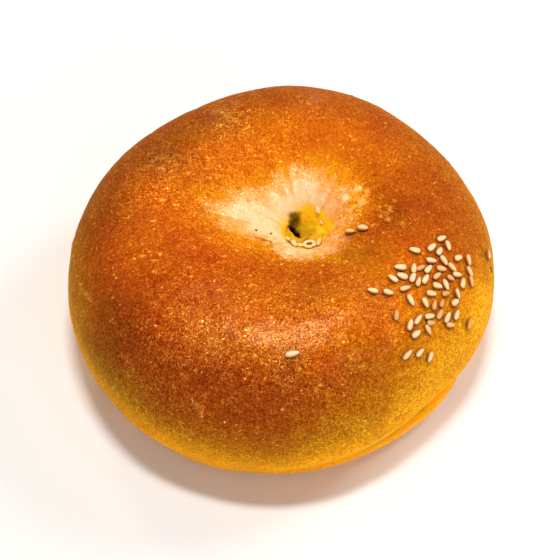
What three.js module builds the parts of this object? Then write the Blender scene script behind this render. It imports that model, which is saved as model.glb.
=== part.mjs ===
// A round filled bun, baked on a flat tray, with a navel pressed into its top that has split open.
// Millimetres, +Z up. The origin is the middle of the flat base, and -Y is the front.
//
// The bun is one solid. Half of an upright section is turned about Z, and each point of that plain
// turned shape is then moved, as dough is by hands, neighbours and the oven. Bearings are in
// degrees from +X towards +Y.
import * as THREE from "three";

// The section, from the base outwards, up, over the top and down into the navel
const BASE_RADIUS = 38.5; // the flat that stands on the tray
const FOOT_RADIUS = 44.5; // the low roll of dough that spread over the tray
const FOOT_HEIGHT = 3.6;
const CREASE_HEIGHT = 7.6; // the fold between the foot and the side
const BELLY_RADIUS = 50; // the widest ring
const BELLY_HEIGHT = 17.5;
const CREST_RADIUS = 27.5; // the highest ring, round the navel
const CREST_HEIGHT = 40.7;
const RIM_RADIUS = 6.4; // the rim of the navel's hole
const RIM_HEIGHT = 33.6;
const FLOOR_RADIUS = 3.4; // the floor of that hole
const FLOOR_HEIGHT = 28.6;

// The split in that floor
const SPLIT_LENGTH = 4.6;
const SPLIT_WIDTH = 1.3;
const SPLIT_DEPTH = 7;
const SPLIT_BEARING = -52;

// Where the hole and the split lie in plan, seen from the axis of the section
const NAVEL = new THREE.Vector2(5.9, 2.9);
const SPLIT = new THREE.Vector2(3.6, 5.0);
// The groove that runs from the navel to the left
const GROOVE = { bearing: 178, length: 25, width: 5.5, depth: 1.8 };

// Swells, and dents where they are negative: each is widest at its bearing and fades over its spread
const OUTLINE_SWELLS = [
  { bearing: 16, spread: 18, by: 1.1 },
  { bearing: 82, spread: 16, by: 0.8 },
  { bearing: 127, spread: 17, by: -1.5 },
  { bearing: 197, spread: 20, by: -0.6 },
  { bearing: 244, spread: 18, by: 1.0 },
  { bearing: 301, spread: 24, by: -1.1 },
];
const BELLY_SWELLS = [{ bearing: 316, spread: 11, by: -1.4 }];
const FOOT_SWELLS = [
  { bearing: 243, spread: 9, by: 0.8 },
  { bearing: 286, spread: 18, by: 1.2 },
  { bearing: 323, spread: 16, by: 1.8 },
];
const CREASE_DEPTHS = [
  { bearing: 318, spread: 15, by: 2.9 },
  { bearing: 285, spread: 12, by: 0.9 },
  { bearing: 120, spread: 30, by: 0.7 },
];
const TOP_DIP = { bearing: 135, spread: 40, by: 1.3 };

// How far up and down the foot and the crease reach
const FOOT_REACH = 2.4;
const CREASE_REACH = 1.9;

// Soft lumps of the dough: waves round the bun and along the section, their height and phase
const LUMPS = [
  { round: 3, along: 2, by: 0.32, phase: 0.6 },
  { round: 5, along: 3, by: 0.24, phase: 2.3 },
  { round: 8, along: 5, by: 0.13, phase: 4.1 },
];

// Fineness
const TURN_STEPS = 72;
const STEPS_PER_SPAN = 3;

const { degToRad, smoothstep, lerp } = THREE.MathUtils;

// How much a swell adds at a bearing: all of it at its own bearing, next to nothing 3 spreads away.
function swell({ bearing, spread, by }, at) {
  return by * Math.exp((Math.cos(at - degToRad(bearing)) - 1) / degToRad(spread) ** 2);
}

function swells(list, at) {
  return list.reduce((sum, one) => sum + swell(one, at), 0);
}

// A band round one height: 1 in its middle, near 0 at twice its reach.
function band(height, middle, reach) {
  return Math.exp(-(((height - middle) / reach) ** 2));
}

// Half of the upright section, as rings of the turned shape.
function section() {
  const side = (share) => lerp(FOOT_RADIUS, BELLY_RADIUS, share);
  const shoulder = (out, up) => [
    lerp(CREST_RADIUS, BELLY_RADIUS, out),
    lerp(BELLY_HEIGHT, CREST_HEIGHT, up),
  ];
  const splitRadius = SPLIT_LENGTH / 2;
  const splitFloor = FLOOR_HEIGHT - SPLIT_DEPTH;
  const points = [
    [0, 0],
    [BASE_RADIUS * 0.7, 0],
    [BASE_RADIUS, 0],
    [FOOT_RADIUS - 2.2, 1],
    [FOOT_RADIUS, FOOT_HEIGHT],
    [side(0.42), CREASE_HEIGHT],
    [side(0.74), lerp(CREASE_HEIGHT, BELLY_HEIGHT, 0.36)],
    [BELLY_RADIUS, BELLY_HEIGHT],
    shoulder(0.88, 0.47),
    shoulder(0.53, 0.82),
    [CREST_RADIUS, CREST_HEIGHT],
    [lerp(RIM_RADIUS, CREST_RADIUS, 0.5), lerp(RIM_HEIGHT, CREST_HEIGHT, 0.7)],
    [RIM_RADIUS + 2.6, RIM_HEIGHT + 1.3],
    [RIM_RADIUS - 0.6, RIM_HEIGHT - 1.6],
    [FLOOR_RADIUS + 0.9, FLOOR_HEIGHT + 1.1],
    [FLOOR_RADIUS - 0.5, FLOOR_HEIGHT],
    [splitRadius, FLOOR_HEIGHT - 0.9],
    [splitRadius * 0.85, lerp(FLOOR_HEIGHT, splitFloor, 0.6)],
    [splitRadius * 0.55, splitFloor],
    [0, splitFloor],
  ];
  const curve = new THREE.SplineCurve(points.map(([radius, height]) => new THREE.Vector2(radius, height)));
  const rings = curve.getPoints((points.length - 1) * STEPS_PER_SPAN);
  rings.forEach((ring) => ring.set(Math.max(ring.x, 0), Math.max(ring.y, 0)));
  return rings;
}

// The radius of a point of the side after the outline's swells, the foot and the crease.
// The share is 1 on the side and 0 over the crest.
function sideRadius(radius, height, share, at) {
  const outer = smoothstep(radius, 14, 46);
  const belly = smoothstep(height, CREASE_HEIGHT - 2, CREASE_HEIGHT + 4) * (1 - smoothstep(height, 20, 34));
  const local =
    belly * swells(BELLY_SWELLS, at) +
    band(height, FOOT_HEIGHT, FOOT_REACH) * swells(FOOT_SWELLS, at) -
    band(height, CREASE_HEIGHT, CREASE_REACH) * swells(CREASE_DEPTHS, at);
  return radius + outer * (lerp(0.6, 1, share) * swells(OUTLINE_SWELLS, at) + share * local);
}

// How far the soft lumps lift the skin at one place.
function lump(along, at) {
  const wave = ({ round, along: waves, by, phase }) =>
    by * Math.sin(round * at + phase) * Math.cos(waves * Math.PI * along + phase);
  return LUMPS.reduce((sum, one) => sum + wave(one), 0);
}

// How far the groove beside the navel lowers the top at one place in plan.
function groove(place) {
  const from = place.clone().sub(NAVEL);
  from.rotateAround(new THREE.Vector2(), -degToRad(GROOVE.bearing));
  const run = smoothstep(from.x, 0, GROOVE.length * 0.3) * (1 - smoothstep(from.x, GROOVE.length * 0.4, GROOVE.length));
  return GROOVE.depth * run * band(from.y, 0, GROOVE.width);
}

// Moves one point of the turned section. Along runs from 0 at the middle of the base to 1 at the
// bottom of the split, and at is the point's bearing in radians.
function shaped(ring, along, at) {
  const over = smoothstep(along, 0.4, 0.6);
  let radius = sideRadius(ring.x, ring.y, 1 - over, at);
  let height = ring.y - swell(TOP_DIP, at) * over * smoothstep(ring.x, 8, 30);

  // the lumps stand at a right angle to the ring of dough round the navel
  const skin = smoothstep(height, 4, 16) * smoothstep(radius, RIM_RADIUS, 20);
  const tilt = Math.atan2(height - BELLY_HEIGHT, radius - CREST_RADIUS);
  const rise = skin * lump(along, at);
  radius += rise * Math.cos(tilt);
  height += rise * Math.sin(tilt);

  // the rings close in on the navel, and then narrow to the split
  const narrow = over * (1 - smoothstep(radius, SPLIT_LENGTH / 2, FLOOR_RADIUS + 1.6));
  const centre = NAVEL.clone().multiplyScalar(over * (1 - smoothstep(radius, RIM_RADIUS, 46)));
  centre.lerp(SPLIT, narrow);
  const turn = degToRad(SPLIT_BEARING);
  const long = radius * Math.cos(at - turn);
  const wide = radius * Math.sin(at - turn) * lerp(1, SPLIT_WIDTH / SPLIT_LENGTH, narrow);
  const place = new THREE.Vector2(long, wide).rotateAround(new THREE.Vector2(), turn).add(centre);
  height -= over * smoothstep(radius, FLOOR_RADIUS, 14) * groove(place);
  return new THREE.Vector3(place.x, place.y, height);
}

function bunGeometry() {
  const rings = section();
  const geometry = new THREE.LatheGeometry(rings, TURN_STEPS);
  const { position, uv } = geometry.attributes;
  for (let i = 0; i < position.count; i++) {
    const along = uv.getY(i);
    const ring = rings[Math.round(along * (rings.length - 1))];
    const point = shaped(ring, along, uv.getX(i) * 2 * Math.PI);
    position.setXYZ(i, point.x, point.y, point.z);
  }
  // the box of the finished shape is centred over the origin
  geometry.computeBoundingBox();
  const middle = geometry.boundingBox.getCenter(new THREE.Vector3());
  geometry.translate(-middle.x, -middle.y, 0);
  geometry.computeVertexNormals();
  return geometry;
}

const crust = new THREE.MeshStandardMaterial({ color: "#c8761c", roughness: 0.42, metalness: 0 });

const bun = new THREE.Mesh(bunGeometry(), crust);
bun.name = "bun";

const part = new THREE.Group();
part.add(bun);

export default part;
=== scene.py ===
"""Red bean bun: the looks of one baked bun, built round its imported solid.

The crust repeats the solid's own formula on a finer grid and adds the relief of the skin.
The sesame seeds and the glimpse of bean paste in the split navel are pieces of their own.
Everything is in metres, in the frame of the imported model: +Z up, -Y to the front.
Shapes are worked out in millimetres, and bearings are in degrees from +X towards +Y.
"""

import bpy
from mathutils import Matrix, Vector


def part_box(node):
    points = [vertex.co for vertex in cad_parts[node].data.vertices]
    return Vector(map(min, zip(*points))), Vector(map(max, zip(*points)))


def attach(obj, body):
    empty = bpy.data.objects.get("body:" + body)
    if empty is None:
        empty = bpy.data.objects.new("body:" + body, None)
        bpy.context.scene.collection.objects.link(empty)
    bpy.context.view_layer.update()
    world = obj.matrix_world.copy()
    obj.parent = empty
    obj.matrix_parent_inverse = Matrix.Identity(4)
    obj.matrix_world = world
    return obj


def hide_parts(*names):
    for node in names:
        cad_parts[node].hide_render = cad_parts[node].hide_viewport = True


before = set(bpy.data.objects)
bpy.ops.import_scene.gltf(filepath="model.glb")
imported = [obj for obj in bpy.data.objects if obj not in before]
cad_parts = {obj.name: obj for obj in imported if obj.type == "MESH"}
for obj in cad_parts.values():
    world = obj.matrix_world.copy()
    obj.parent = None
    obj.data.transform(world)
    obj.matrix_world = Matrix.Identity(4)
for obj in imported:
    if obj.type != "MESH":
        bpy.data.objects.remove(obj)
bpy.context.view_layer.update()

import itertools
import math

import bpy
import numpy as np
from mathutils import Vector

bl_info = {
    "name": "Red bean bun",
    "version": (1, 0, 0),
    "blender": (4, 5, 0),
    "location": "View3D > Sidebar > Bun",
    "description": "A baked bun with a split navel and sesame seeds",
    "category": "Add Mesh",
}

MM = 0.001
BODY = "root"
BUN_LOW, BUN_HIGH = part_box("bun")

CRUST = "bun_crust"
SEEDS = "sesame_seeds"
PASTE = "bean_paste_glimpse"


def display(code):
    """The linear colour of a display colour code such as C8761C."""
    shares = [int(code[i : i + 2], 16) / 255 for i in (0, 2, 4)]
    return tuple(s / 12.92 if s <= 0.04045 else ((s + 0.055) / 1.055) ** 2.4 for s in shares)


# ---- settings


def colour(name, description, code):
    """A colour setting, from its display colour code."""
    return bpy.props.FloatVectorProperty(
        name=name, description=description, subtype="COLOR", size=3, min=0, max=1, default=display(code)
    )


def size(name, description, default):
    """A length setting, in metres."""
    return bpy.props.FloatProperty(
        name=name, description=description, unit="LENGTH", min=0, default=default, precision=5
    )


class CrustSettings(bpy.types.PropertyGroup):
    width: size("Width", "Size of the bun from left to right", BUN_HIGH.x - BUN_LOW.x)
    length: size("Length", "Size of the bun from front to back", BUN_HIGH.y - BUN_LOW.y)
    height: size("Height", "Height of the bun above the tray", BUN_HIGH.z - BUN_LOW.z)
    relief: size("Relief", "How high the soft unevenness of the skin stands", 0.14 * MM)
    blisters: size("Blisters", "How high the larger blisters stand", 0.22 * MM)
    pores: size("Pores", "Depth of the fine leathery grain", 0.11 * MM)
    foot: colour("Foot", "Golden crust, low on the side", "FCAA09")
    honey: colour("Honey", "Crust where the side starts to brown", "DE8E07")
    gold: colour("Gold", "Lightly browned crust", "CB7706")
    amber: colour("Amber", "Half-browned crust", "B95D05")
    brown: colour("Brown", "Browned crust", "A84505")
    dark: colour("Dark", "Darkest crust on the shoulder", "9B3A05")
    cream: colour("Cream", "Dough that stayed pale round the navel", "F0D0A4")
    peach: colour("Peach", "Lightly coloured dough round the pale part", "EEA962")
    # The hole's wall: the dough's yellow with painted shade and glow in it. The same colour is painted as
    # shade along the crease.
    green: colour("Hollow", "Yellow-green wall of the hole", "F0BE1C")
    # Painted shade: olive in the hole's recess and floor, beside the chips and along the crease.
    olive_shade: colour("Moss", "Shaded olive in the hole and in the crease", "6E5204")
    # Painted shade at the bottom of the split and in the pricked holes; also the colour of one dark speck.
    shade: colour("Deep", "Moist crumb deep in the hole", "1C1002")
    # Pale blisters; the same colour is painted as glints on raised places and on the crinkles' tops.
    fleck_and_glint: colour("Fleck", "Small blisters in the skin", "F4A02A")


class SeedSettings(bpy.types.PropertyGroup):
    length: size("Length", "Length of one sesame seed", 2.8 * MM)
    width: size("Width", "Width of one sesame seed", 1.88 * MM)
    thickness: size("Thickness", "Thickness of one sesame seed", 0.95 * MM)
    sunk: bpy.props.FloatProperty(
        name="Sunk", description="Share of the thickness that sits in the crust", min=0, max=1, default=0.08
    )
    pale: colour("Pale", "Colour of a hulled seed", "F8D39C")
    toasted: colour("Toasted", "Colour of a toasted seed", "DE9C48")
    # Darker edge and point of a seed: partly its own colour, partly painted shade.
    edge_and_shade: colour("Husk", "Colour of a seed's edge", "A4561A")


class PasteSettings(bpy.types.PropertyGroup):
    length: size("Length", "Length of the glimpse along the split", 4.4 * MM)
    width: size("Width", "Width of the glimpse across the split", 2.2 * MM)
    top: size("Top", "Height of the paste above the tray", 24.2 * MM)
    tint: colour("Paste", "Colour of the red bean paste", "1C0A0C")


class StageSettings(bpy.types.PropertyGroup):
    floor_size: size("Floor size", "Side of the square floor", 4.0)
    floor: colour("Floor", "Colour of the floor", "F6F6F4")
    camera_distance: size("Camera distance", "From the camera to the middle of the bun", 0.4)
    camera_elevation: bpy.props.FloatProperty(
        name="Camera elevation",
        description="Angle of view above the floor",
        subtype="ANGLE",
        default=math.radians(57),
    )
    brightness: bpy.props.FloatProperty(
        name="Brightness", description="Strength of all the lights together", min=0, default=1
    )


# ---- shape of the bun

# The same values as the solid's own source, in millimetres
BASE_RADIUS = 38.5
FOOT_RADIUS = 44.5
FOOT_HEIGHT = 3.6
CREASE_HEIGHT = 7.6
BELLY_RADIUS = 50.0
BELLY_HEIGHT = 17.5
CREST_RADIUS = 27.5
CREST_HEIGHT = 40.7
RIM_RADIUS = 6.4
RIM_HEIGHT = 33.6
FLOOR_RADIUS = 3.4
FLOOR_HEIGHT = 28.6
SPLIT_LENGTH = 4.6
SPLIT_WIDTH = 1.3
SPLIT_DEPTH = 7.0
SPLIT_BEARING = -52.0
NAVEL = (5.9, 2.9)
SPLIT = (3.6, 5.0)
GROOVE_BEARING = 178.0
GROOVE_LENGTH = 25.0
GROOVE_WIDTH = 5.5
GROOVE_DEPTH = 1.8
FOOT_REACH = 2.4
CREASE_REACH = 1.9

# Swells and dents: bearing, spread, height
OUTLINE_SWELLS = (
    (16, 18, 1.1), (82, 16, 0.8), (127, 17, -1.5), (197, 20, -0.6), (244, 18, 1.0), (301, 24, -1.1),
)
BELLY_SWELLS = ((316, 11, -1.4),)
FOOT_SWELLS = ((243, 9, 0.8), (286, 18, 1.2), (323, 16, 1.8))
CREASE_DEPTHS = ((318, 15, 2.9), (285, 12, 0.9), (120, 30, 0.7))
TOP_DIP = ((135, 40, 1.3),)
# Lumps: waves round the bun, waves along the section, height, phase
LUMPS = ((3, 2, 0.32, 0.6), (5, 3, 0.24, 2.3), (8, 5, 0.13, 4.1))

# Depth of the bit of paste, in millimetres
PASTE_DEPTH = 3.2
# Fineness of the grids of the crust, a seed and the paste
TURNS = 400
RINGS = 236
SEED_TURNS = 18
SEED_RINGS = 12
PASTE_TURNS = 28
PASTE_RINGS = 16


def smooth(value, low, high):
    """0 below low, 1 above high, and 3t2 - 2t3 between them."""
    t = np.clip((value - low) / (high - low), 0, 1)
    return t * t * (3 - 2 * t)


def between(first, second, share):
    """The first value at share 0, the second at share 1."""
    return first + (second - first) * share


def swells(listed, at):
    """The sum of each height times exp((cos(angle from its bearing) - 1) / spread squared)."""
    total = np.zeros_like(at)
    for bearing, spread, height in listed:
        fall = np.cos(at - math.radians(bearing)) - 1
        total += height * np.exp(fall / math.radians(spread) ** 2)
    return total


def band(value, middle, reach):
    """exp(-((value - middle) / reach) squared): 1 in the middle and near 0 at twice the reach."""
    return np.exp(-(((value - middle) / reach) ** 2))


def turned(x, y, angle):
    """x and y turned by an angle about the origin."""
    return x * math.cos(angle) - y * math.sin(angle), x * math.sin(angle) + y * math.cos(angle)


def section_points():
    """Corners of half the upright section, as radius and height, from the base's middle to the split."""

    def side(share):
        return between(FOOT_RADIUS, BELLY_RADIUS, share)

    def shoulder(out, up):
        return between(CREST_RADIUS, BELLY_RADIUS, out), between(BELLY_HEIGHT, CREST_HEIGHT, up)

    split_radius = SPLIT_LENGTH / 2
    split_floor = FLOOR_HEIGHT - SPLIT_DEPTH
    corners = [
        (0, 0),
        (BASE_RADIUS * 0.7, 0),
        (BASE_RADIUS, 0),
        (FOOT_RADIUS - 2.2, 1),
        (FOOT_RADIUS, FOOT_HEIGHT),
        (side(0.42), CREASE_HEIGHT),
        (side(0.74), between(CREASE_HEIGHT, BELLY_HEIGHT, 0.36)),
        (BELLY_RADIUS, BELLY_HEIGHT),
        shoulder(0.88, 0.47),
        shoulder(0.53, 0.82),
        (CREST_RADIUS, CREST_HEIGHT),
        (between(RIM_RADIUS, CREST_RADIUS, 0.5), between(RIM_HEIGHT, CREST_HEIGHT, 0.7)),
        (RIM_RADIUS + 2.6, RIM_HEIGHT + 1.3),
        (RIM_RADIUS - 0.6, RIM_HEIGHT - 1.6),
        (FLOOR_RADIUS + 0.9, FLOOR_HEIGHT + 1.1),
        (FLOOR_RADIUS - 0.5, FLOOR_HEIGHT),
        (split_radius, FLOOR_HEIGHT - 0.9),
        (split_radius * 0.85, between(FLOOR_HEIGHT, split_floor, 0.6)),
        (split_radius * 0.55, split_floor),
        (0, split_floor),
    ]
    return np.array(corners, float)


def spline(points, places):
    """A Catmull-Rom curve: cubics that pass each point along half the step between its neighbours.

    Places run from 0 at the first point to 1 at the last, evenly by point.
    """
    last = len(points) - 1
    spot = np.clip(places, 0, 1) * last
    i = np.minimum(spot.astype(int), last - 1)
    t = (spot - i)[:, None]
    before, start, end, after = (points[np.clip(i + step, 0, last)] for step in (-1, 0, 1, 2))
    leave, arrive = (end - before) / 2, (after - start) / 2
    cubic = (2 * start - 2 * end + leave + arrive) * t**3
    square = (3 * end - 3 * start - 2 * leave - arrive) * t**2
    return cubic + square + leave * t + start


def ring_places():
    """Where the rings lie along the section: evenly by its length, few on the base and more in the hole."""
    dense = np.linspace(0, 1, 6000)
    radius, height = spline(section_points(), dense).T
    step = np.hypot(np.diff(radius), np.diff(height))
    weight = np.where(height < 0.05, 0.12, 1.0) + 1.6 * ((radius < RIM_RADIUS + 3) & (height > 15))
    weight += 0.7 * band(height, CREASE_HEIGHT, 2.5) * (radius > 30)
    reached = np.concatenate([[0], np.cumsum(step * weight[1:])])
    return np.interp(np.linspace(0, reached[-1], RINGS), reached, dense)


def side_radius(radius, height, share, at):
    """The radius after the outline's swells, the belly's dent, the foot and the crease.

    Each is a band of heights times its swells round the bun. The share is 1 on the side, 0 over the crest.
    """
    outer = smooth(radius, 14, 46)
    belly = smooth(height, CREASE_HEIGHT - 2, CREASE_HEIGHT + 4) * (1 - smooth(height, 20, 34))
    local = belly * swells(BELLY_SWELLS, at)
    local += band(height, FOOT_HEIGHT, FOOT_REACH) * swells(FOOT_SWELLS, at)
    local -= band(height, CREASE_HEIGHT, CREASE_REACH) * swells(CREASE_DEPTHS, at)
    return radius + outer * (between(0.6, 1, share) * swells(OUTLINE_SWELLS, at) + share * local)


def groove(x, y):
    """How deep the groove beside the navel is: a rounded valley that fades in and out along its run."""
    ahead, aside = turned(x - NAVEL[0], y - NAVEL[1], -math.radians(GROOVE_BEARING))
    run = smooth(ahead, 0, GROOVE_LENGTH * 0.3) * (1 - smooth(ahead, GROOVE_LENGTH * 0.4, GROOVE_LENGTH))
    return GROOVE_DEPTH * run * band(aside, 0, GROOVE_WIDTH)


def bun_skin(places, at):
    """The solid's surface: the section turned about Z, each point then moved as in the solid's source.

    Places run along the section and at round the bun, in radians. Gives points, and the plain section's
    radius and height, each on the grid of rings by turns.
    """
    ring = np.maximum(spline(section_points(), places), 0)
    ring_radius = ring[:, :1] + 0 * at
    ring_height = ring[:, 1:] + 0 * at
    at = at + 0 * ring_radius
    over = smooth(places, 0.4, 0.6)[:, None]
    radius = side_radius(ring_radius, ring_height, 1 - over, at)
    height = ring_height - swells(TOP_DIP, at) * over * smooth(ring_radius, 8, 30)

    skin = smooth(height, 4, 16) * smooth(radius, RIM_RADIUS, 20)
    tilt = np.arctan2(height - BELLY_HEIGHT, radius - CREST_RADIUS)
    rise = np.zeros_like(radius)
    for waves, folds, by, phase in LUMPS:
        rise += by * np.sin(waves * at + phase) * np.cos(folds * math.pi * places[:, None] + phase)
    radius += skin * rise * np.cos(tilt)
    height += skin * rise * np.sin(tilt)

    narrow = over * (1 - smooth(radius, SPLIT_LENGTH / 2, FLOOR_RADIUS + 1.6))
    drawn = over * (1 - smooth(radius, RIM_RADIUS, 46))
    turn = math.radians(SPLIT_BEARING)
    long = radius * np.cos(at - turn)
    wide = radius * np.sin(at - turn) * between(1, SPLIT_WIDTH / SPLIT_LENGTH, narrow)
    x, y = turned(long, wide, turn)
    x += between(NAVEL[0] * drawn, SPLIT[0], narrow)
    y += between(NAVEL[1] * drawn, SPLIT[1], narrow)
    height -= over * smooth(radius, FLOOR_RADIUS, 14) * groove(x, y)
    points = np.stack([x, y, height], -1)
    middle = (points.min((0, 1)) + points.max((0, 1))) / 2
    points[..., :2] -= middle[:2]
    return points, ring_radius, ring_height


# ---- relief of the skin

# Middles in plan, in millimetres, on the finished bun
HOLE = (5.3, 2.4)
CLEFT = (3.07, 4.54)
RECESS = (3.1, 6.4)
CHIPS_SHADE = (5.8, 1.5)
# Heights between which the low side passes into the upper skin
UPPER_FROM = (18, 24)


def upper_skin(points):
    """1 on the upper skin, 0 on the base and low on the side."""
    return smooth(points[..., 2], *UPPER_FROM)


def from_hole(points):
    """Distance and bearing of each point from the middle of the hole, in plan."""
    x = points[..., 0] - HOLE[0]
    y = points[..., 1] - HOLE[1]
    return np.hypot(x, y), np.arctan2(y, x)


def lattice(points, cell, seed):
    """Smooth noise from -1 to 1: random values at cube corners, blended inside each cube by 3t2 - 2t3."""
    table = np.random.default_rng(seed).uniform(-1, 1, (48, 48, 48))
    place = points / cell
    low = np.floor(place).astype(int)
    t = place - low
    t = t * t * (3 - 2 * t)
    total = np.zeros(points.shape[:-1])
    for corner in itertools.product((0, 1), repeat=3):
        near = np.prod(np.where(np.array(corner) == 1, t, 1 - t), axis=-1)
        i, j, k = np.moveaxis((low + corner) % 48, -1, 0)
        total += near * table[i, j, k]
    return total


def normals_of(points):
    """Unit normals of a closed grid: the step round the bun crossed with the step along the section."""
    around = np.roll(points, -1, axis=1) - np.roll(points, 1, axis=1)
    along = np.gradient(points, axis=0)
    cross = np.cross(around, along)
    length = np.linalg.norm(cross, axis=-1, keepdims=True)
    return cross / np.maximum(length, 1e-9)


def stroke(points, corners, reach):
    """A soft line over the skin through corners given in plan: exp(-(distance / reach) squared) in plan."""
    nearest = np.full(points.shape[:-1], 1e9)
    for start, end in zip(corners[:-1], corners[1:]):
        start, end = np.array(start, float), np.array(end, float)
        step = end - start
        share = np.clip(((points[..., :2] - start) @ step) / (step @ step), 0, 1)
        gap = points[..., :2] - start - share[..., None] * step
        nearest = np.minimum(nearest, np.hypot(gap[..., 0], gap[..., 1]))
    return np.exp(-((nearest / reach) ** 2))


def patch(points, middle, reach):
    """A soft round patch in plan on the upper skin: exp(-(distance / reach) squared)."""
    far = np.hypot(points[..., 0] - middle[0], points[..., 1] - middle[1])
    return np.exp(-((far / reach) ** 2)) * upper_skin(points)


def added(points, places):
    """The sum over all places, each a middle, a reach and a strength, of strength times patch."""
    return sum(strength * patch(points, middle, reach) for middle, reach, strength in places)


def strongest(points, places):
    """The largest, over all places, of strength times patch."""
    return np.max([strength * patch(points, middle, reach) for middle, reach, strength in places], axis=0)


# Blisters keep this far from the middle of the hole
HOLE_CLEAR = 8
# Blisters: middle of a group in plan, how far it spreads, how many, radius of the largest
BLISTER_GROUPS = (
    ((17.5, 7), 4.4, 24, 0.95), ((23, 2.5), 4.5, 16, 0.8), ((16, -4), 4, 10, 0.5),
    ((-10.5, 28.5), 4.5, 14, 0.6), ((7, 33), 5, 8, 0.5), ((-27.5, 17), 5, 12, 0.5),
    ((-29, -10.5), 3, 8, 0.5), ((0, -24), 26, 90, 0.42), ((0, 10), 34, 120, 0.42),
)


def blister_field(points):
    """Domes scattered in groups outside the hole: 1 - (distance / radius) squared, and at least 0."""
    rng = np.random.default_rng(31)
    height = np.zeros(points.shape[:-1])
    for middle, spread, number, largest in BLISTER_GROUPS:
        for _ in range(number):
            spot = rng.normal(middle, spread / 2)
            radius = largest * rng.uniform(0.55, 1)
            far = np.hypot(points[..., 0] - spot[0], points[..., 1] - spot[1])
            if math.hypot(spot[0] - HOLE[0], spot[1] - HOLE[1]) > HOLE_CLEAR:
                height = np.maximum(height, 1 - (far / radius) ** 2)
    return height * upper_skin(points)


# Wrinkled places: middle in plan, how far they spread, turn of the wrinkles, height
WRINKLES = (
    ((1, -37), 4, 25, 0.22), ((-27.5, 17), 5, 60, 0.28), ((-15, 25), 6, 15, 0.22),
    ((-33, 8), 5, 80, 0.2), ((-19, 12), 4.5, 40, 0.18), ((9, 33.5), 3.2, -20, 0.12),
    ((24, -26), 3, 50, 0.08),
)


def wrinkle_field(points):
    """Short raised creases where the skin has puckered: 1 - 2 |noise|, stretched along one way."""
    total = np.zeros(points.shape[:-1])
    for number, (middle, spread, turn, height) in enumerate(WRINKLES):
        x, y = turned(points[..., 0], points[..., 1], -math.radians(turn))
        stretched = np.stack([x / 2.6, y, points[..., 2]], -1)
        ridge = 1 - np.abs(lattice(stretched, 0.9, 60 + number)) * 2
        total += height * ridge * patch(points, middle, spread)
    return total


# Lines on the skin, as corners in plan
LEFT_FOLD = ((-48.6, 4), (-48.3, 0), (-46.6, -9), (-44.4, -14), (-42.5, -17))
SCAR = ((-20.2, -41.0), (-18.6, -42.8), (-16.8, -44.6))
RIM_FOLD = ((-5.6, -1.7), (-4, -2.1), (-2.4, -2.3))
# Lines that stand proud: line, reach, height
RAISED_LINES = ((LEFT_FOLD, 0.7, 0.22), (SCAR, 0.5, 0.3), (RIM_FOLD, 0.35, 0.4))
# Small holes pricked beside the navel: middle in plan, reach, height
PRICKS = (((-5.8, -0.1), 0.3, -0.5), ((-2.4, 0.3), 0.3, -0.5))
# Large blisters that stayed pale: middle in plan, reach, strength
PALE_SPOTS = (
    ((14.6, 8.1), 1.1, 1.3), ((17.6, 9.4), 0.8, 1.1), ((19.4, 8.6), 0.7, 1), ((18.3, 6), 0.9, 1),
    ((15.6, 4.8), 0.7, 0.8),
)
PALE_SPOT_HEIGHT = 0.3
# The fold of the crease and the bulge of the foot under it: bearing, spread, height
CREASE_FOLD = ((318, 14, 0.9), (282, 12, 0.35))
FOOT_BULGE = ((332, 8, 0.8),)
# The fold's sharp line and the broad dip above it: how far over the crease, reach, share of the fold
CREASE_BANDS = ((0.6, 0.6, 1), (5.4, 4, 0.65))
CRUMB_HEIGHT = 0.22


def relief_of(points, ring_radius, ring_height, at, settings):
    """How far each point of the skin stands proud, in millimetres, along its normal.

    The sum of noise, blisters, wrinkles, raised lines, pricks, the crease, the foot and the hole's crumb.
    """
    height = points[..., 2]
    hole, _ = from_hole(points)
    top = smooth(height, 1.5, 6)
    outside = top * smooth(hole, 3, 8)
    soft = lattice(points, 6.5, 3) + 0.45 * lattice(points, 2.6, 4) + 0.2 * lattice(points, 1.3, 5)
    relief = settings.relief / MM * soft * between(0.4, 1, outside) * top
    relief += settings.blisters / MM * blister_field(points)
    relief += wrinkle_field(points)

    for corners, reach, rise in RAISED_LINES:
        relief += rise * upper_skin(points) * stroke(points, corners, reach)
    relief += added(points, PRICKS)
    relief += PALE_SPOT_HEIGHT * added(points, PALE_SPOTS)

    low = 1 - smooth(height, 18, 26)
    fold = low * swells(CREASE_FOLD, at)
    for over, reach, share in CREASE_BANDS:
        relief -= share * fold * band(ring_height, CREASE_HEIGHT + over, reach)
    relief += low * swells(FOOT_BULGE, at) * band(ring_height, FOOT_HEIGHT, FOOT_REACH)

    crumb = lattice(points, 1.1, 8) + 0.6 * lattice(points, 0.55, 9)
    inside = (1 - smooth(hole, 4, 6.5)) * smooth(height, 20, 24) * smooth(ring_radius, 0.6, 2.2)
    return relief + CRUMB_HEIGHT * crumb * inside


def fit_to_box(points, low, high):
    """The points stretched by the least that makes their box the given one."""
    first = points.min((0, 1))
    return low + (points - first) * ((high - low) / (points.max((0, 1)) - first))


# ---- meshes


def on_vertices(field):
    """What is given on the grid of rings, in the order of closed_skin's vertices."""
    return np.concatenate([field[0, :1], field[1:-1].reshape(-1, *field.shape[2:]), field[-1, :1]])


def closed_skin(points):
    """Vertices and faces of rings that close in one point at each end: a fan, rows of quads, and a fan."""
    rings, turns = points.shape[:2]
    inner = rings - 2
    corner = 1 + np.arange(inner)[:, None] * turns + np.arange(turns)
    following = np.roll(corner, -1, axis=1)
    quads = np.stack([corner[:-1], following[:-1], following[1:], corner[1:]], -1).reshape(-1, 4)
    last = inner * turns + 1
    first_fan = np.stack([np.zeros(turns, int), following[0], corner[0]], -1)
    last_fan = np.stack([corner[-1], following[-1], np.full(turns, last)], -1)
    return on_vertices(points), [*first_fan.tolist(), *quads.tolist(), *last_fan.tolist()]


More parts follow.
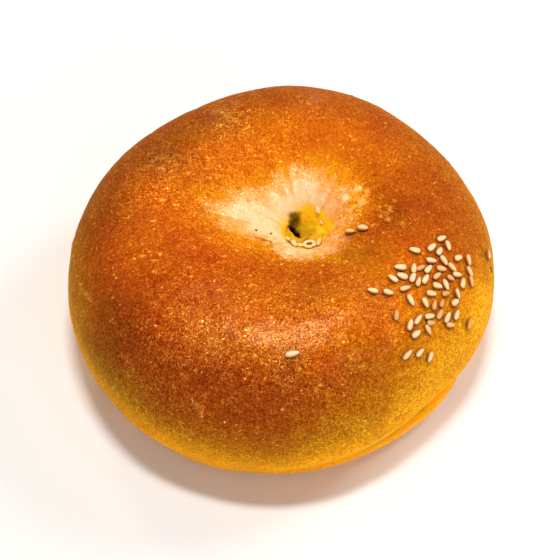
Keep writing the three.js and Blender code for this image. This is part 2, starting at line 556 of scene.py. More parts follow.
def add_piece(name, vertices, faces, material, attributes=None):
    """A smooth mesh object at the origin, with one number a vertex for each attribute."""
    mesh = bpy.data.meshes.new(name)
    mesh.from_pydata(vertices.tolist(), [], faces)
    for label, values in (attributes or {}).items():
        attribute = mesh.attributes.new(label, "FLOAT", "POINT")
        attribute.data.foreach_set("value", np.ascontiguousarray(values, np.float32))
    mesh.shade_smooth()
    mesh.materials.append(material)
    mesh.update()
    piece = bpy.data.objects.new(name, mesh)
    bpy.context.scene.collection.objects.link(piece)
    return piece


# ---- materials


class Wire:
    """One output of a shader node. +, - and * on it add Math nodes to the same material."""

    def __init__(self, tree, socket):
        self.tree = tree
        self.socket = socket

    def math(self, operation, first, second):
        return node(self.tree, "Math", {"operation": operation}, {0: first, 1: second})

    def __add__(self, other):
        return self.math("ADD", self, other)

    def __sub__(self, other):
        return self.math("SUBTRACT", self, other)

    def __rsub__(self, other):
        return self.math("SUBTRACT", other, self)

    def __mul__(self, other):
        return self.math("MULTIPLY", self, other)

    __radd__ = __add__
    __rmul__ = __mul__

    def rise(self, low, high):
        """0 below low, 1 above high, and smooth between them."""
        sockets = {"Value": self, "From Min": low, "From Max": high}
        return node(self.tree, "MapRange", {"interpolation_type": "SMOOTHSTEP"}, sockets)


def node(tree, kind, settings, sockets, output=0):
    """Adds one shader node: its settings first, then the value or the link of each socket."""
    made = tree.nodes.new("ShaderNode" + kind)
    for name, value in settings.items():
        if name == "stops":
            set_stops(made.color_ramp, value)
        else:
            setattr(made, name, value)
    for name, value in sockets.items():
        if isinstance(value, Wire):
            tree.links.new(value.socket, made.inputs[name])
        else:
            made.inputs[name].default_value = value
    return Wire(tree, made.outputs[output]) if made.outputs else None


def set_stops(ramp, stops):
    """Gives a ramp these places and colours."""
    while len(ramp.elements) > 1:
        ramp.elements.remove(ramp.elements[-1])
    for number, (place, tone) in enumerate(stops):
        element = ramp.elements[0] if number == 0 else ramp.elements.new(place)
        element.position = place
        element.color = (*tone, 1)


def mix(factor, first, second, blend="MIX"):
    """Two colours mixed by a factor, at least one of the three being a Wire."""
    tree = next(part.tree for part in (factor, first, second) if isinstance(part, Wire))
    values = {0: factor}
    for place, part in ((6, first), (7, second)):
        values[place] = part if isinstance(part, Wire) else (*part, 1)
    return node(tree, "Mix", {"data_type": "RGBA", "blend_type": blend}, values, 2)


def noise(position, cell, detail=2.0, rough=0.5, bend=0.0):
    """Noise whose lumps are about one cell of metres wide, from about 0.2 to 0.8."""
    sockets = {"Vector": position, "Scale": 1 / cell, "Detail": detail}
    sockets = sockets | {"Roughness": rough, "Distortion": bend}
    return node(position.tree, "TexNoise", {}, sockets)


def cells(position, cell, feature="F1"):
    """Distance to the nearest of scattered points about one cell apart, in cells."""
    return node(position.tree, "TexVoronoi", {"feature": feature}, {"Vector": position, "Scale": 1 / cell})


def attribute(tree, name):
    """A vertex attribute of the piece, as a number."""
    return node(tree, "Attribute", {"attribute_type": "GEOMETRY", "attribute_name": name}, {}, 2)


def new_material(name):
    """An empty material, its tree, and the position on the piece in metres."""
    material = bpy.data.materials.new(name)
    material.use_nodes = True
    material.node_tree.nodes.clear()
    place = node(material.node_tree, "TexCoord", {}, {}, 3)
    return material, material.node_tree, place


def surface(tree, sockets, height=None, distance=0.0):
    """The Principled shader with these sockets, and a bump of that many metres where a height is given."""
    if height is not None:
        sockets = sockets | {"Normal": node(tree, "Bump", {}, {"Height": height, "Distance": distance})}
    shader = node(tree, "BsdfPrincipled", {}, sockets)
    node(tree, "OutputMaterial", {}, {"Surface": shader})


def pale_blisters_and_glints(tree, place, speckle):
    """Small pale blisters in the browned skin, which also stand in for painted glints, and painted glints
    speckled on the raised places, from 0 to 1.
    """
    dots = 1 - cells(place, 1.5 * MM).rise(0.1, 0.26)
    fine_dots = 1 - cells(place, 0.75 * MM).rise(0.12, 0.32)
    chosen = noise(place, 3 * MM)
    flecks_and_glints = dots * chosen.rise(0.48, 0.6) * 0.6 + fine_dots * chosen.rise(0.42, 0.62) * 0.35
    flecks_and_glints = flecks_and_glints * attribute(tree, "bake").rise(0.1, 0.5)
    return flecks_and_glints + attribute(tree, "raised") * (speckle + 0.5).rise(0.3, 0.55) * 0.85


def with_speck_and_prick_shade(crust, place, speckle, settings):
    """The crust darkened in ragged balls stretched upright through the skin: a dark speck, and painted
    shade in the pricked holes.
    """
    squash = (1, 1, 0.3)
    flat = node(place.tree, "VectorMath", {"operation": "MULTIPLY"}, {0: place, 1: squash})
    for spot, reach in SPECK_AND_PRICK_SHADE:
        middle = tuple(part * share * MM for part, share in zip(spot, squash))
        far = node(place.tree, "VectorMath", {"operation": "DISTANCE"}, {0: flat, 1: middle}, 1)
        clear = (far + speckle * 0.5 * MM).rise(reach * 0.5 * MM, reach * MM)
        crust = mix(1 - clear, crust, settings.shade)
    return crust


def toned(tree, crust, grain):
    """The crust times its tone and its grain.

    The grain's exponent g lights red by g, green by g squared and blue by g to the fourth.
    """
    tone = attribute(tree, "tone")
    grainy = node(tree, "Math", {"operation": "EXPONENT"}, {0: grain})
    green = grainy * grainy
    shares = {0: tone * grainy, 1: tone * green * 0.94, 2: tone * green * green * 0.8}
    return mix(1.0, crust, node(tree, "CombineColor", {}, shares), "MULTIPLY")


def crust_material(settings):
    """Egg-washed crust: a mottled browning ramp, peach and cream round the hole, yellow inside, with
    painted shade in olive in the hole and along the crease and nearly black at the split's bottom.

    Pale blisters that double as painted glints, a dark speck, painted shade in the pricks, tone and grain
    are laid over it, and a leathery bump, deeper where it is glossy.
    """
    material, tree, place = new_material("crust_baked")
    bake = attribute(tree, "bake")
    cream = attribute(tree, "cream")
    streak = attribute(tree, "streak") - 0.5

    clouds = noise(place, 11 * MM) - 0.5
    mottle = noise(place, 2.3 * MM, 4.0, 0.65, 0.5) - 0.5
    speckle = noise(place, 0.5 * MM, 3.0, 0.75, 1.2) - 0.5
    browned = bake + clouds * 0.3 + mottle * 0.4 + speckle * 0.35 * bake.rise(0.0, 0.35) + streak * 0.12
    tones = (settings.foot, settings.honey, settings.gold, settings.amber, settings.brown, settings.dark)
    stops = [*zip((0, 0.15, 0.3, 0.5, 0.75, 1), tones)]
    crust = node(tree, "ValToRGB", {"stops": stops}, {"Fac": browned})

    pale = cream + (mottle * 0.3 + speckle * 0.1 + streak * 0.7) * cream.rise(0, 0.3)
    crust = mix(pale.rise(0.02, 0.55), crust, settings.peach)
    crust = mix(pale.rise(0.5, 1.0), crust, settings.cream)

    crinkle = attribute(tree, "crinkle")
    folds = noise(place, 1.6 * MM, 2.0, 0.6, 2.5) - 0.5
    # The crinkles' tops, painted with glints.
    lit_crests = crinkle * (1 - node(tree, "Math", {"operation": "ABSOLUTE"}, {0: folds}).rise(0.0, 0.05))
    flecks_and_glints = pale_blisters_and_glints(tree, place, speckle) + lit_crests * 0.6
    crust = mix(flecks_and_glints, crust, settings.fleck_and_glint)

    # The hole's wall, and through the same attribute the painted shade of the crease line.
    green = attribute(tree, "hollow") + mottle * 0.8
    crust = mix(green.rise(0.2, 0.8), crust, settings.green)
    # Painted olive shade in the hole and along the crease.
    olive = attribute(tree, "olive_shade") + mottle * 0.6
    crust = mix(olive.rise(0.2, 0.8), crust, settings.olive_shade)
    # Painted shade at the bottom of the split.
    crust = mix(attribute(tree, "deep"), crust, settings.shade)
    # A dark speck, and painted shade in the pricked holes.
    crust = with_speck_and_prick_shade(crust, place, speckle, settings)
    # Between the crinkles' tops the grain is darker: painted shade.
    grain = (mottle * 1.7 + speckle * 5.5) * attribute(tree, "grain") - (crinkle - lit_crests) * 0.175
    crust = toned(tree, crust, grain)

    gloss = attribute(tree, "gloss")
    leather = noise(place, 0.7 * MM, 1.0, 0.5, 1.0)
    pebbles = cells(place, 0.6 * MM, "SMOOTH_F1")
    height = (leather * 0.7 + pebbles * 0.3) * (0.3 + 0.7 * gloss) + flecks_and_glints * 0.1 + lit_crests * 0.6
    sockets = {
        "Base Color": crust,
        "Roughness": 0.92 - 0.7 * gloss.rise(0.2, 0.8),
        "Specular IOR Level": 0.27,
        "Specular Tint": (1.0, 0.6, 0.25, 1),
    }
    surface(tree, sockets, height, settings.pores)
    return material


def seed_material(settings):
    """Hulled sesame: cream to toasted tan by seed, with a satin skin, darker at the point and round the
    rim, partly its own colour and partly painted shade.
    """
    material, tree, place = new_material("sesame_hulled")
    toast = attribute(tree, "toast") + (noise(place, 0.6 * MM) - 0.5) * 0.5
    tone = mix(toast.rise(0, 1), settings.pale, settings.toasted)
    # Darker at the edge and point: partly the seed's own colour, partly painted shade.
    tone = mix(attribute(tree, "rim").rise(0.03, 0.65), tone, settings.edge_and_shade)
    grain = noise(place, 0.25 * MM)
    sockets = {"Base Color": tone, "Roughness": 0.45 + grain * 0.15, "Specular IOR Level": 0.4}
    surface(tree, sockets, grain, 0.02 * MM)
    return material


def paste_material(settings):
    """Red bean paste: nearly black, moist and slightly uneven."""
    material, tree, place = new_material("bean_paste_moist")
    grain = noise(place, 0.4 * MM, 3.0)
    tone = mix(grain, settings.tint, tuple(0.4 * part for part in settings.tint))
    sockets = {"Base Color": tone, "Roughness": 0.3 + grain * 0.2}
    surface(tree, sockets, grain, 0.05 * MM)
    return material


def floor_material(settings):
    """Plain matt floor."""
    material, tree, _ = new_material("floor_plain")
    sockets = {"Base Color": (*settings.floor, 1), "Roughness": 0.9, "Specular IOR Level": 0.1}
    surface(tree, sockets)
    return material


# ---- looks on the skin

# By bearing: the height where the side turns brown, and how brown it is at most and on the crown
BROWN_LINE = 28.5, ((262, 14, -2.8), (200, 18, 1.5), (327, 16, 7), (285, 18, -1.4), (232, 16, -0.8))
BROWNEST = 0.6, ((217, 26, 0.3), (262, 12, 0.2))
CROWN_BROWN = 0.58, ((212, 25, 0.16), (0, 16, 0.1))
# How far from the hole the crust stays bright, by bearing from the hole, and how dark the shoulder gets
BRIGHT_TONE = 1.02, ((100, 60, 0.28), (350, 40, 0.03))
BRIGHT_REACH = 29, ((240, 50, 17), (355, 35, -8))
# Painted shade: the shoulder is darker on the left.
SHOULDER_TONE = 0.9, ((165, 55, -0.2),)
SIDE_TONE = 1.03, ((262, 30, -0.12),)
# How far the lightly browned skin and the pale dough reach from the hole, by bearing from the hole
ORANGE_REACH = 11.5, ((182, 24, 10.5), (60, 60, 3.5), (325, 25, -3.5))
CREAM_REACH = 10.5, ((176, 17, 7.8), (90, 50, 1.5), (275, 30, -1.2), (219, 13, -1.8))
CREAM_LACK = ((350, 32, 0.75),)
HOLLOW_REACH = 5.7, ((265, 35, -1.3), (200, 30, -0.2), (65, 40, 1.7))
# Where the egg wash dried glossy: middle in plan, how far it spreads, strength
GLOSSY_PLACES = (
    ((3, -29), 12, 1), ((15, -27), 9, 0.95), ((-16, -25), 8, 0.9), ((-6, -33), 10, 0.9),
    ((-26, 17), 9, 0.45), ((-14, 28), 9, 0.4), ((-33, 0), 7, 0.3), ((6, 35), 7, 0.4),
)
# Where the crust is lighter or darker than the rules above say: middle in plan, spread, change of tone
# The lighter places along the front crest are painted highlight.
TONED_PLACES = (
    ((-30, 8), 7, 0.38), ((-36, -8), 8, 0.27), ((-14, -9), 6, 0.14), ((-22, 0), 6, 0.1),
    ((-14, 18), 7, 0.13), ((-21, -25), 7, 0.2), ((-5, -27), 8, 0.14), ((13, -27), 7, 0.19),
    ((23, -25), 5, 0.18), ((29, -23), 6, 0.1), ((17, 1), 4, 0.12), ((9, -35), 4, 0.14),
    ((41, -12), 6, 0.1), ((33, -15), 9, 0.25), ((-37, -28), 9, -0.18), ((-26, -38), 9, -0.1),
    ((-8, -41), 9, -0.1), ((5, -45), 8, -0.12), ((17, -40), 8, -0.08), ((26, 1), 5.5, -0.28),
    ((17.5, -9), 5.5, -0.25), ((8, -8), 4.5, -0.08), ((7, -20), 6, -0.18), ((17, -35), 5, -0.14),
    ((-14, -35), 6, -0.12), ((-12, -17), 6, -0.08), ((-1, 35), 7, -0.12), ((-23, 24), 5, -0.14),
)
# Where the skin is grainiest: middle in plan, how far it spreads, how much more grain than elsewhere
GRAINY_PLACES = (
    ((-22, -32), 15, 0.38), ((3, -37), 16, 0.36), ((-30, 14), 14, 0.25), ((-12, 33), 8, 0.3),
    ((13, 20), 8, -0.22), ((0, -48), 9, -0.12),
)
# Where the skin dried in fine crinkles: middle in plan, how far they spread, strength
# The crinkles' tops get painted glints, and the grain between them painted shade.
CRINKLED_PLACES = (
    ((-28, 17), 6.5, 1.2), ((-15, 27), 8, 1), ((-36, 8), 5, 0.6), ((-18, 12), 7, 0.6),
    ((1, -37.5), 4, 0.7), ((-17, -25), 6, 0.5), ((-19, 2), 4, 0.5), ((22, -22), 5, 0.5),
    ((12, 33), 6, 0.4),
)
# Where the foot shows under the crease, by bearing. Then the dark line, which is painted shade, and the
# pale lip of the foot and the pale ridge of the belly, which are painted light: height, reach
CREASE_RUN = ((298, 12, 0.7), (320, 12, 0.9))
CREASE_SHADE_LINE = (6.4, 1.1)
FOOT_LIP_LIGHT = (4, 1.2)
BELLY_RIDGE_LIGHT = (15.2, 1)
# Where the raised lines are speckled with painted glints: line, strength
GLINTING_LINES = ((LEFT_FOLD, 0.6), (SCAR, 0.3))
# The shade at each seed: its place from the seed's middle, reach, strength
SEED_SHADE = (-0.3, -0.5), 0.95, 0.42
# Dark marks on the skin: middle and reach. The first is a dark speck in the crust, the other two painted
# shade in the pricked holes
SPECK_AND_PRICK_SHADE = (((48.1, -4.8, 26.0), 0.6), ((-5.81, 0.26, 34.91), 0.36), ((-2.41, 0.32, 33.61), 0.33))


def reach_at(rule, at):
    """A plain value plus its swells at each bearing."""
    plain, changes = rule
    return plain + swells(changes, at)


def browning(points):
    """How brown the crust is: rising over a band of heights to its most, and less by the hole."""
    height = points[..., 2]
    hole, toward = from_hole(points)
    bearing = np.arctan2(points[..., 1], points[..., 0])
    line = reach_at(BROWN_LINE, bearing)
    most = between(reach_at(BROWNEST, bearing), reach_at(CROWN_BROWN, bearing), smooth(height, 35, 39))
    reach = reach_at(ORANGE_REACH, toward)
    spared = 0.65 * (1 - smooth(hole, reach * 0.7, reach * 1.45))
    return smooth(height, line - 10, line + 10) * most * (1 - spared)


def pale_dough(points):
    """How pale the dough stayed round the hole, falling to 0 over a band of distances."""
    hole, toward = from_hole(points)
    reach = reach_at(CREAM_REACH, toward)
    near = (1 - smooth(hole, reach * 0.6, reach * 1.4)) * smooth(points[..., 2], 24, 30)
    return near * (1 - swells(CREAM_LACK, toward))


def tone_of(points, cream):
    """How light the crust is: bright near the hole, then by bearing, and even where it is pale. The darker
    left shoulder is painted shade, and the lighter places on the front crest painted highlight.
    """
    hole, toward = from_hole(points)
    bearing = np.arctan2(points[..., 1], points[..., 0])
    climb = smooth(points[..., 2], 16, 24)
    shoulder = between(reach_at(SIDE_TONE, bearing), reach_at(SHOULDER_TONE, bearing), climb)
    reach = reach_at(BRIGHT_REACH, toward)
    tone = between(reach_at(BRIGHT_TONE, toward), shoulder, smooth(hole, reach - 11, reach + 11))
    return between(tone + added(points, TONED_PLACES), 0.98, cream)


def hole_looks(points, ring_height):
    """The hole's yellow wall, the olive painted shade in its recess, on its floor and beside the chips, and
    the painted shade at its dark bottom, each with a ragged edge.
    """
    hole, toward = from_hole(points)
    ragged = 0.5 * lattice(points, 1.2, 41)
    reach = reach_at(HOLLOW_REACH, toward)
    edge = hole + ragged + 1.2 * lattice(points, 3.0, 42)
    hollow = (1 - smooth(edge, reach - 3, reach + 2.2)) * smooth(ring_height, 20, 26)

    # Painted olive shade in the recess, on the floor and beside the chips, and painted shade at the split's
    # bottom.
    inside = (hole < 9) * (ring_height > 15)
    recess = np.hypot((points[..., 0] - RECESS[0]) / 1.5, points[..., 1] - RECESS[1]) + ragged
    floor_shade = 0.5 * (1 - smooth(points[..., 2] + ragged, 29.2, 30.8))
    olive_shade = inside * np.maximum(floor_shade, 0.85 * (1 - smooth(recess, 0.1, 2.5)))
    olive_shade = np.maximum(olive_shade, 0.75 * patch(points, CHIPS_SHADE, 1.5))
    # Painted shade: nearly black low in the split.
    deep = inside * (1 - smooth(ring_height, FLOOR_HEIGHT - 2.0, FLOOR_HEIGHT - 0.2))
    return hollow, olive_shade, deep


def light_by_seeds(points):
    """The share of light left by the seeds outside the hole: the product of 1 - strength times patch."""
    (right, back), reach, strength = SEED_SHADE
    outside = from_hole(points)[0] > 7
    left = np.ones(points.shape[:-1])
    for x, y, *_ in seed_places():
        left *= 1 - strength * patch(points, (x + right, y + back), reach) * outside
    return left


def looks_of(points, at, ring_height):
    """Numbers that the crust's material reads, most of them from 0 to 1."""
    hole, toward = from_hole(points)
    upper = upper_skin(points)
    cream = pale_dough(points)
    hollow, olive_shade, deep = hole_looks(points, ring_height)
    # The hole's wall is painted lighter: painted glow.
    tone = tone_of(points, cream) + 0.14 * hollow
    spokes = np.stack([toward * 9, hole / 5, 0 * hole], -1)
    streak = 0.5 + 0.5 * lattice(spokes, 1, 14) * smooth(hole, 4, 6.5)

    # Along the crease: painted shade on the dark line, and painted light on the foot's lip and the belly's
    # ridge.
    wave = ring_height + 0.5 * lattice(points, 3.0, 17)
    run = swells(CREASE_RUN, at)
    line, lip_light, ridge = (run * band(wave, *place) for place in (CREASE_SHADE_LINE, FOOT_LIP_LIGHT, BELLY_RIDGE_LIGHT))
    hollow = np.maximum(hollow, line)
    olive_shade = np.maximum(olive_shade, 0.45 * line)
    cream = np.maximum(cream + 0.22 * ridge + 0.22 * lip_light, strongest(points, PALE_SPOTS))
    tone = tone + 0.3 * ridge + 0.35 * lip_light

    # The rim fold: painted light on its crest and painted shade just in front of it.
    fold = upper * stroke(points, RIM_FOLD, 0.4)
    fold_shade = upper * stroke(points + (0, 0.65, 0), RIM_FOLD, 0.35)
    cream = np.maximum(cream, fold) * (1 - 0.8 * fold_shade)
    tone = tone * (1 - 0.4 * fold_shade) + 0.12 * fold

    # Raised blisters and lines, where painted glints are speckled.
    raised = np.clip(blister_field(points), 0, 1)
    for corners, strength in GLINTING_LINES:
        raised = np.maximum(raised, strength * upper * stroke(points, corners, 0.35))
    gloss = strongest(points, GLOSSY_PLACES) * (1.3 + 0.6 * lattice(points, 2.8, 23))
    grain = between(0.25, 0.6, smooth(points[..., 2], 10, 28)) + added(points, GRAINY_PLACES)
    return {
        "bake": browning(points),
        "tone": tone * light_by_seeds(points),
        "cream": cream,
        "streak": streak,
        "gloss": np.clip(gloss, 0, 1) * (1 - 0.6 * cream),
        "grain": grain * (1 - 0.85 * np.clip(cream + hollow, 0, 1)),
        "hollow": np.clip(hollow, 0, 1),
        "crinkle": strongest(points, CRINKLED_PLACES),
        "olive_shade": np.clip(olive_shade, 0, 1),
        "deep": np.clip(deep, 0, 1),
        "raised": raised,
    }


# ---- sesame seeds

# Seeds on the right shoulder, row by row from the back: plan y, then each seed's x, bearing and toast
SEED_ROWS = (
    (-4.8, ((35.6, 30, 0),)), (-6.3, ((37, -75, 1),)), (-7.7, ((33.2, 45, 0), (41.7, -60, 1))),
    (-8.3, ((34.9, 60, 0), (39.2, 20, 0))), (-9.3, ((29.4, 165, 0),)),
    (-10.3, ((35.8, -45, 0), (41.9, -50, 2))), (-11.2, ((32.9, 5, 0), (37.7, -30, 1))),
    (-12.4, ((35.2, 0, 4), (38.8, 5, 0), (42.1, -50, 4))), (-13.3, ((30.5, 30, 7), (32.1, 45, 0))),
    (-13.8, ((26, 180, 0), (28.9, 80, 1), (37.2, -10, 5), (40.1, 80, 1))), (-14.4, ((34.1, 40, 5),)),
    (-15.8, ((26.3, 165, 0), (28.6, 70, 0), (31.4, 60, 0), (36.1, -65, 0))),
    (-16.6, ((24.3, 145, 0), (29.8, 75, 2), (34.1, -5, 0), (38.7, -40, 0))), (-17.6, ((36, 15, 6),)),
    (-18.6, ((26.9, 20, 3), (32.7, -5, 0), (38.1, 25, 0))),
    (-20, ((19.8, 165, 0), (23.1, -10, 1), (35, 75, 8))),
    (-20.9, ((28.1, -60, 0), (31.3, -60, 0), (33.3, 85, 5), (38.4, 75, 0), (41.5, -75, 6))),
    (-22.3, ((34.5, 75, 4), (36.3, 75, 0))), (-23.4, ((32.1, 5, 0), (37, -5, 4))),
    (-24.7, ((24.8, 90, 6), (29.5, 65, 0), (32.4, 5, 5))), (-26.2, ((27.8, 80, 0), (31.8, -50, 3))),
    (-27.6, ((29.1, 40, 0),)), (-30.8, ((29.9, 60, 0), (32.2, -85, 0))), (-31.8, ((27.1, 70, 0),)),
)
# Seeds that lie alone and chips of seed at the hole: plan x and y, bearing, toast, share of full size
LONE_SEEDS = (
    (47, -2.5, 88, 1, 1), (18.5, -1.3, -35, 0, 1.12), (15.6, -1.4, -30, 2, 1.05),
    (2.3, -34.7, 12, 0, 1.15), (1.2, 0.8, 60, 0, 0.75), (2.8, -0.2, -70, 1, 0.85),
    (4.3, -0.5, 5, 0, 0.7), (5.2, -0.2, 60, 0, 0.5), (5.5, 0.5, 50, 0, 0.45), (6.3, 0.8, 0, 0, 0.5),
    (7.1, 0.6, -40, 0, 0.45), (7.5, 0, -75, 0, 0.5), (7.1, -0.6, 35, 0, 0.45), (6.3, -0.9, 0, 1, 0.5),
    (5.6, -0.7, -35, 1, 0.45), (8.8, 0.1, 80, 1, 0.9), (8.4, 7.7, 90, 1, 0.7), (9.3, 5.3, 90, 0, 0.4),
)


def ball_angles(rings, turns):
    """The angles along and round a ball, on a grid of rings by turns."""
    along = np.linspace(0, math.pi, rings)[:, None]
    turn = np.linspace(0, 2 * math.pi, turns, endpoint=False)[None, :]
    return along + 0 * turn, turn + 0 * along


def seed_grid(settings):
    """One seed on a grid: a flat egg, 2 sqrt(s (1 - s)) (1.08 - 0.4 s) wide at share s of its length."""
    along, turn = ball_angles(SEED_RINGS, SEED_TURNS)
    s = (1 - np.cos(along)) / 2
    width = np.sin(along) * (1.08 - 0.4 * s)
    x = (s - 0.5) * settings.length / MM
    y = width * np.cos(turn) * settings.width / MM / 2
    z = width**0.8 * np.sin(turn) * settings.thickness / MM / 2
    # Share of the edge colour, round the rim and at the ends: partly the seed's own, partly painted shade.
    rim = np.maximum((1 - np.abs(np.sin(turn))) ** 0.8, (1 - np.sin(along)) ** 1.5)
    return np.stack([x, y, z], -1), rim


def seed_places():
    """Plan x, plan y, bearing, toast and share of full size of every seed."""
    rows = [(x, y, bearing, toast, 1) for y, row in SEED_ROWS for x, bearing, toast in row]
    return rows + list(LONE_SEEDS)


def on_skin(vertices, normals, x, y):
    """The point and the normal of the upper skin at a place in plan, on the plane of its nearest vertex."""
    gap = np.hypot(vertices[:, 0] - x, vertices[:, 1] - y)
    gap = np.where((vertices[:, 2] < BELLY_HEIGHT) | (normals[:, 2] < 0.15), np.inf, gap)
    nearest = int(gap.argmin())
    point, normal = vertices[nearest], normals[nearest]
    climb = normal[0] * (x - point[0]) + normal[1] * (y - point[1])
    return np.array([x, y, point[2] - climb / max(normal[2], 0.2)]), normal


# ---- operators


class BUN_OT_crust(bpy.types.Operator):
    """Makes the crust of the bun, on the solid's own formula with the skin's relief."""

    bl_idname = "bun.crust"
    bl_label = "Crust"

    def execute(self, context):
        settings = context.scene.bun_crust
        at = np.linspace(0, 2 * math.pi, TURNS, endpoint=False)[None, :]
        places = ring_places()
        points, ring_radius, ring_height = bun_skin(places, at)
        at = at + 0 * ring_radius
        normals = normals_of(points)
        lift = relief_of(points, ring_radius, ring_height, at, settings)
        lift[[0, -1]] = 0
        points = points + lift[..., None] * normals
        points[..., 2] = np.maximum(points[..., 2], 0)
        points[ring_height < 0.001, 2] = 0
        low = np.array([*BUN_LOW]) / MM
        grown = np.array([settings.width, settings.length, settings.height]) / MM
        points = fit_to_box(points, low, low + grown)
        looks = looks_of(points, at, ring_height)
        vertices, faces = closed_skin(points)
        values = {name: on_vertices(field) for name, field in looks.items()}
        crust = add_piece(CRUST, vertices * MM, faces, crust_material(settings), values)
        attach(crust, BODY)
        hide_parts("bun")
        return {"FINISHED"}


class BUN_OT_seeds(bpy.types.Operator):
    """Lays the sesame seeds on the crust, each pressed a little into the skin."""

    bl_idname = "bun.seeds"
    bl_label = "Sesame seeds"

    def execute(self, context):
        settings = context.scene.bun_seeds
        if CRUST not in bpy.data.objects:
            raise RuntimeError("make the crust first, because the seeds lie on it")
        mesh = bpy.data.objects[CRUST].data
        vertices, normals = np.zeros((2, len(mesh.vertices), 3))
        mesh.vertices.foreach_get("co", vertices.ravel())
        mesh.vertex_normals.foreach_get("vector", normals.ravel())
        vertices /= MM

        grid, rim = seed_grid(settings)
        rng = np.random.default_rng(5)
        all_vertices, all_faces, toasts, rims = [], [], [], []
        for x, y, bearing, toast, share in seed_places():
            point, normal = on_skin(vertices, normals, x, y)
            turn = math.radians(bearing)
            heading = np.array([math.cos(turn), math.sin(turn), 0])
            normal = normal + rng.normal(0, 0.08, 3)
            normal = normal / np.linalg.norm(normal)
            ahead = heading - normal * (heading @ normal)
            ahead = ahead / np.linalg.norm(ahead)
            aside = np.cross(normal, ahead)
            middle = point + normal * settings.thickness / MM * (0.5 - settings.sunk)
            grown = rng.uniform(0.92, 1.1, 3) * (1 - 0.02 * toast) * share
            placed = middle + (grid * grown) @ np.stack([ahead, aside, normal])
            seed_vertices, seed_faces = closed_skin(placed)
            start = sum(len(part) for part in all_vertices)
            all_faces += [[start + corner for corner in face] for face in seed_faces]
            all_vertices.append(seed_vertices)
            toasts.append(np.full(len(seed_vertices), toast / 9 + rng.uniform(0, 0.2)))
            rims.append(on_vertices(rim) * min(share, 1) ** 4)
        values = {"toast": np.concatenate(toasts), "rim": np.concatenate(rims)}
        laid = np.concatenate(all_vertices) * MM
        seeds = add_piece(SEEDS, laid, all_faces, seed_material(settings), values)
        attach(seeds, BODY)
        return {"FINISHED"}


class BUN_OT_paste(bpy.types.Operator):
    """Puts the glimpse of bean paste at the bottom of the split."""

    bl_idname = "bun.paste"
    bl_label = "Bean paste"

    def execute(self, context):
        settings = context.scene.bun_paste
        along, turn = ball_angles(PASTE_RINGS, PASTE_TURNS)
        x = np.sin(along) * np.cos(turn) * settings.length / MM / 2
        y = np.sin(along) * np.sin(turn) * settings.width / MM / 2
        z = settings.top / MM - PASTE_DEPTH / 2 * (1 + np.cos(along))
        x, y = turned(x, y, math.radians(SPLIT_BEARING))
        points = np.stack([x + CLEFT[0], y + CLEFT[1], z], -1)
        bumps = 0.12 * lattice(points, 0.8, 21)
        bumps[[0, -1]] = 0
        points = points + bumps[..., None]
        vertices, faces = closed_skin(points)
        paste = add_piece(PASTE, vertices * MM, faces, paste_material(settings))
        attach(paste, BODY)
        return {"FINISHED"}


# The camera, in millimetres, except that it aims at a share of the bun's height
SENSOR = 36
LENS = 109
AIM_SHARE = 0.415
AIM_LEFT = 0.38
AIM_BELOW = 1.44
# Strength of the even white light from all around
AMBIENT = 0.25
# Soft lights: name, direction to the light, distance, width, height, power, colour
LIGHTS = (
    ("overhead_softbox", (0, 0.05, 1), 0.7, 0.15, 0.075, 3.1, (1, 1, 1)),
    ("back_softbox", (-0.28, 0.68, 0.68), 0.9, 0.15, 0.1, 1.1, (1, 0.72, 0.4)),
    ("right_key", (0.8, 0.45, 0.75), 0.8, 0.25, 0.25, 2.1, (1, 1, 1)),
    ("front_fill", (0.45, -1, 0.4), 0.9, 0.9, 0.5, 2.64, (1, 1, 1)),
)


def add_aimed(name, data, place, back):
    """Adds a light or camera at a place, looking along the reverse of back."""
    made = bpy.data.objects.new(name, data)
    made.location = place
    made.rotation_euler = (-back).to_track_quat("-Z", "Y").to_euler()
    bpy.context.scene.collection.objects.link(made)
    return made


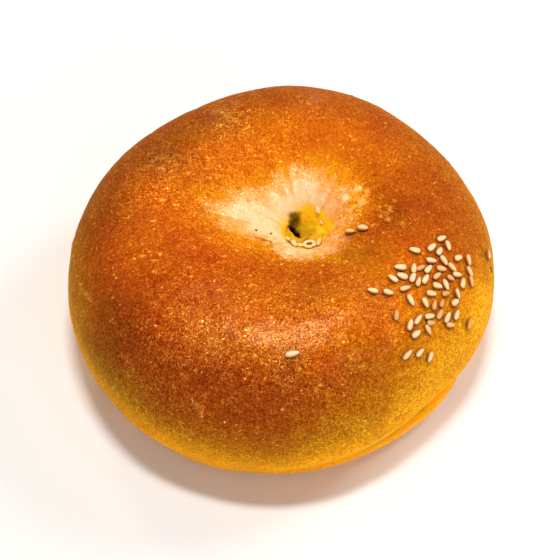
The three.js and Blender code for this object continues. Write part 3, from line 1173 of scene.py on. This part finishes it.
class BUN_OT_stage(bpy.types.Operator):
    """Makes the floor, the soft lights and the camera."""

    bl_idname = "bun.stage"
    bl_label = "Stage"

    def execute(self, context):
        settings = context.scene.bun_stage
        half = settings.floor_size / 2
        corners = half * np.array([(-1, -1, 0), (1, -1, 0), (1, 1, 0), (-1, 1, 0)])
        floor = add_piece("floor", corners, [[0, 1, 2, 3]], floor_material(settings))

        middle = (BUN_LOW + BUN_HIGH) / 2
        middle.z = BUN_LOW.z + AIM_SHARE * (BUN_HIGH.z - BUN_LOW.z)
        for name, direction, distance, width, height, power, tint in LIGHTS:
            lamp = bpy.data.lights.new(name, "AREA")
            lamp.shape = "RECTANGLE"
            lamp.size = width
            lamp.size_y = height
            lamp.energy = power * settings.brightness
            lamp.color = tint
            toward = Vector(direction).normalized()
            add_aimed(name, lamp, middle + toward * distance, toward)

        world = bpy.data.worlds.new("studio")
        world.use_nodes = True
        world.node_tree.nodes.clear()
        strength = AMBIENT * settings.brightness
        glow = node(world.node_tree, "Background", {}, {"Color": (1, 1, 1, 1), "Strength": strength})
        node(world.node_tree, "OutputWorld", {}, {"Surface": glow})
        context.scene.world = world

        view = bpy.data.cameras.new("camera")
        view.sensor_width = SENSOR
        view.lens = LENS
        view.clip_start = 0.02
        view.clip_end = 20
        rise = settings.camera_elevation
        back = Vector((0, -math.cos(rise), math.sin(rise)))
        up = Vector((0, math.sin(rise), math.cos(rise)))
        aim = middle - Vector((AIM_LEFT * MM, 0, 0)) - up * AIM_BELOW * MM
        context.scene.camera = add_aimed("camera", view, aim + back * settings.camera_distance, back)
        context.scene.view_settings.view_transform = "Standard"
        return {"FINISHED"}


class BUN_PT_sidebar(bpy.types.Panel):
    """The bun's pieces, with their sizes and colours."""

    bl_idname = "BUN_PT_sidebar"
    bl_label = "Red bean bun"
    bl_space_type = "VIEW_3D"
    bl_region_type = "UI"
    bl_category = "Bun"

    def draw(self, context):
        for maker, name, group in STEPS:
            box = self.layout.box()
            box.operator(maker.bl_idname)
            for field in group.__annotations__:
                box.prop(getattr(context.scene, name), field)


STEPS = (
    (BUN_OT_crust, "bun_crust", CrustSettings),
    (BUN_OT_seeds, "bun_seeds", SeedSettings),
    (BUN_OT_paste, "bun_paste", PasteSettings),
    (BUN_OT_stage, "bun_stage", StageSettings),
)


def register():
    for maker, name, group in STEPS:
        bpy.utils.register_class(group)
        bpy.utils.register_class(maker)
        setattr(bpy.types.Scene, name, bpy.props.PointerProperty(type=group))
    bpy.utils.register_class(BUN_PT_sidebar)


def unregister():
    bpy.utils.unregister_class(BUN_PT_sidebar)
    for maker, name, group in reversed(STEPS):
        delattr(bpy.types.Scene, name)
        bpy.utils.unregister_class(maker)
        bpy.utils.unregister_class(group)


def main():
    register()
    bpy.ops.bun.crust()
    bpy.ops.bun.seeds()
    bpy.ops.bun.paste()
    bpy.ops.bun.stage()


if __name__ == "__main__":
    main()
